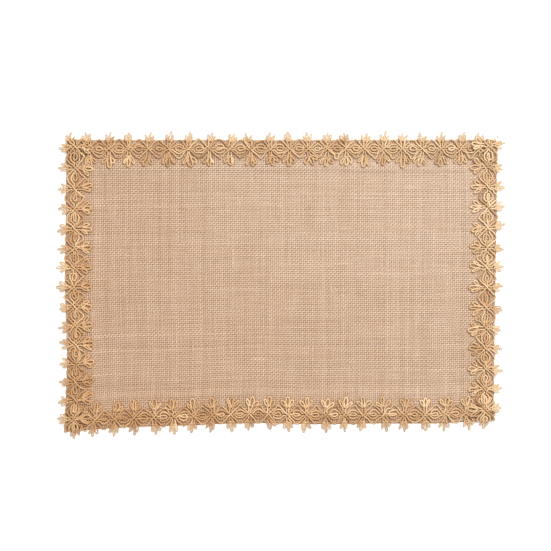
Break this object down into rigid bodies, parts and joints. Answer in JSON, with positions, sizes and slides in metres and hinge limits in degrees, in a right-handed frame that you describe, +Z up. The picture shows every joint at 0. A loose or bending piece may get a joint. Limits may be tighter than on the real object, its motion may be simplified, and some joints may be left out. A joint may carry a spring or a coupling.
{
  "type": "table mat",
  "caption": "Flat rectangular hessian table mat or short runner with a braided jute lace border sewn along all four edges.",
  "frame": {"origin": "centre of the mat in plan, on the table surface that it lies on", "axes": "+X along the long sides, +Y towards the back long side, +Z up through the thickness"},
  "size_m": [0.4496, 0.3026, 0.01],
  "materials": {
    "hessian": "matte plain-woven jute hessian, pinkish beige",
    "jute_cord": "matte two-ply jute cord with a slight sheen, golden tan",
    "sewing_thread": "matte spun polyester thread, tan"
  },
  "bodies": {
    "root": {"ground_cloth": "hessian", "back_frame_cord_a": "jute_cord", "back_frame_cord_b": "jute_cord", "back_outer_petal_cord": "jute_cord", "back_inner_petal_cord": "jute_cord", "back_outer_seam_thread": "sewing_thread", "back_inner_seam_thread": "sewing_thread", "front_frame_cord_a": "jute_cord", "front_frame_cord_b": "jute_cord", "front_outer_petal_cord": "jute_cord", "front_inner_petal_cord": "jute_cord", "front_outer_seam_thread": "sewing_thread", "front_inner_seam_thread": "sewing_thread", "left_frame_cord_a": "jute_cord", "left_frame_cord_b": "jute_cord", "left_outer_petal_cord": "jute_cord", "left_inner_petal_cord": "jute_cord", "left_outer_seam_thread": "sewing_thread", "left_inner_seam_thread": "sewing_thread", "right_frame_cord_a": "jute_cord", "right_frame_cord_b": "jute_cord", "right_outer_petal_cord": "jute_cord", "right_inner_petal_cord": "jute_cord", "right_outer_seam_thread": "sewing_thread", "right_inner_seam_thread": "sewing_thread"}
  },
  "joints": []
}
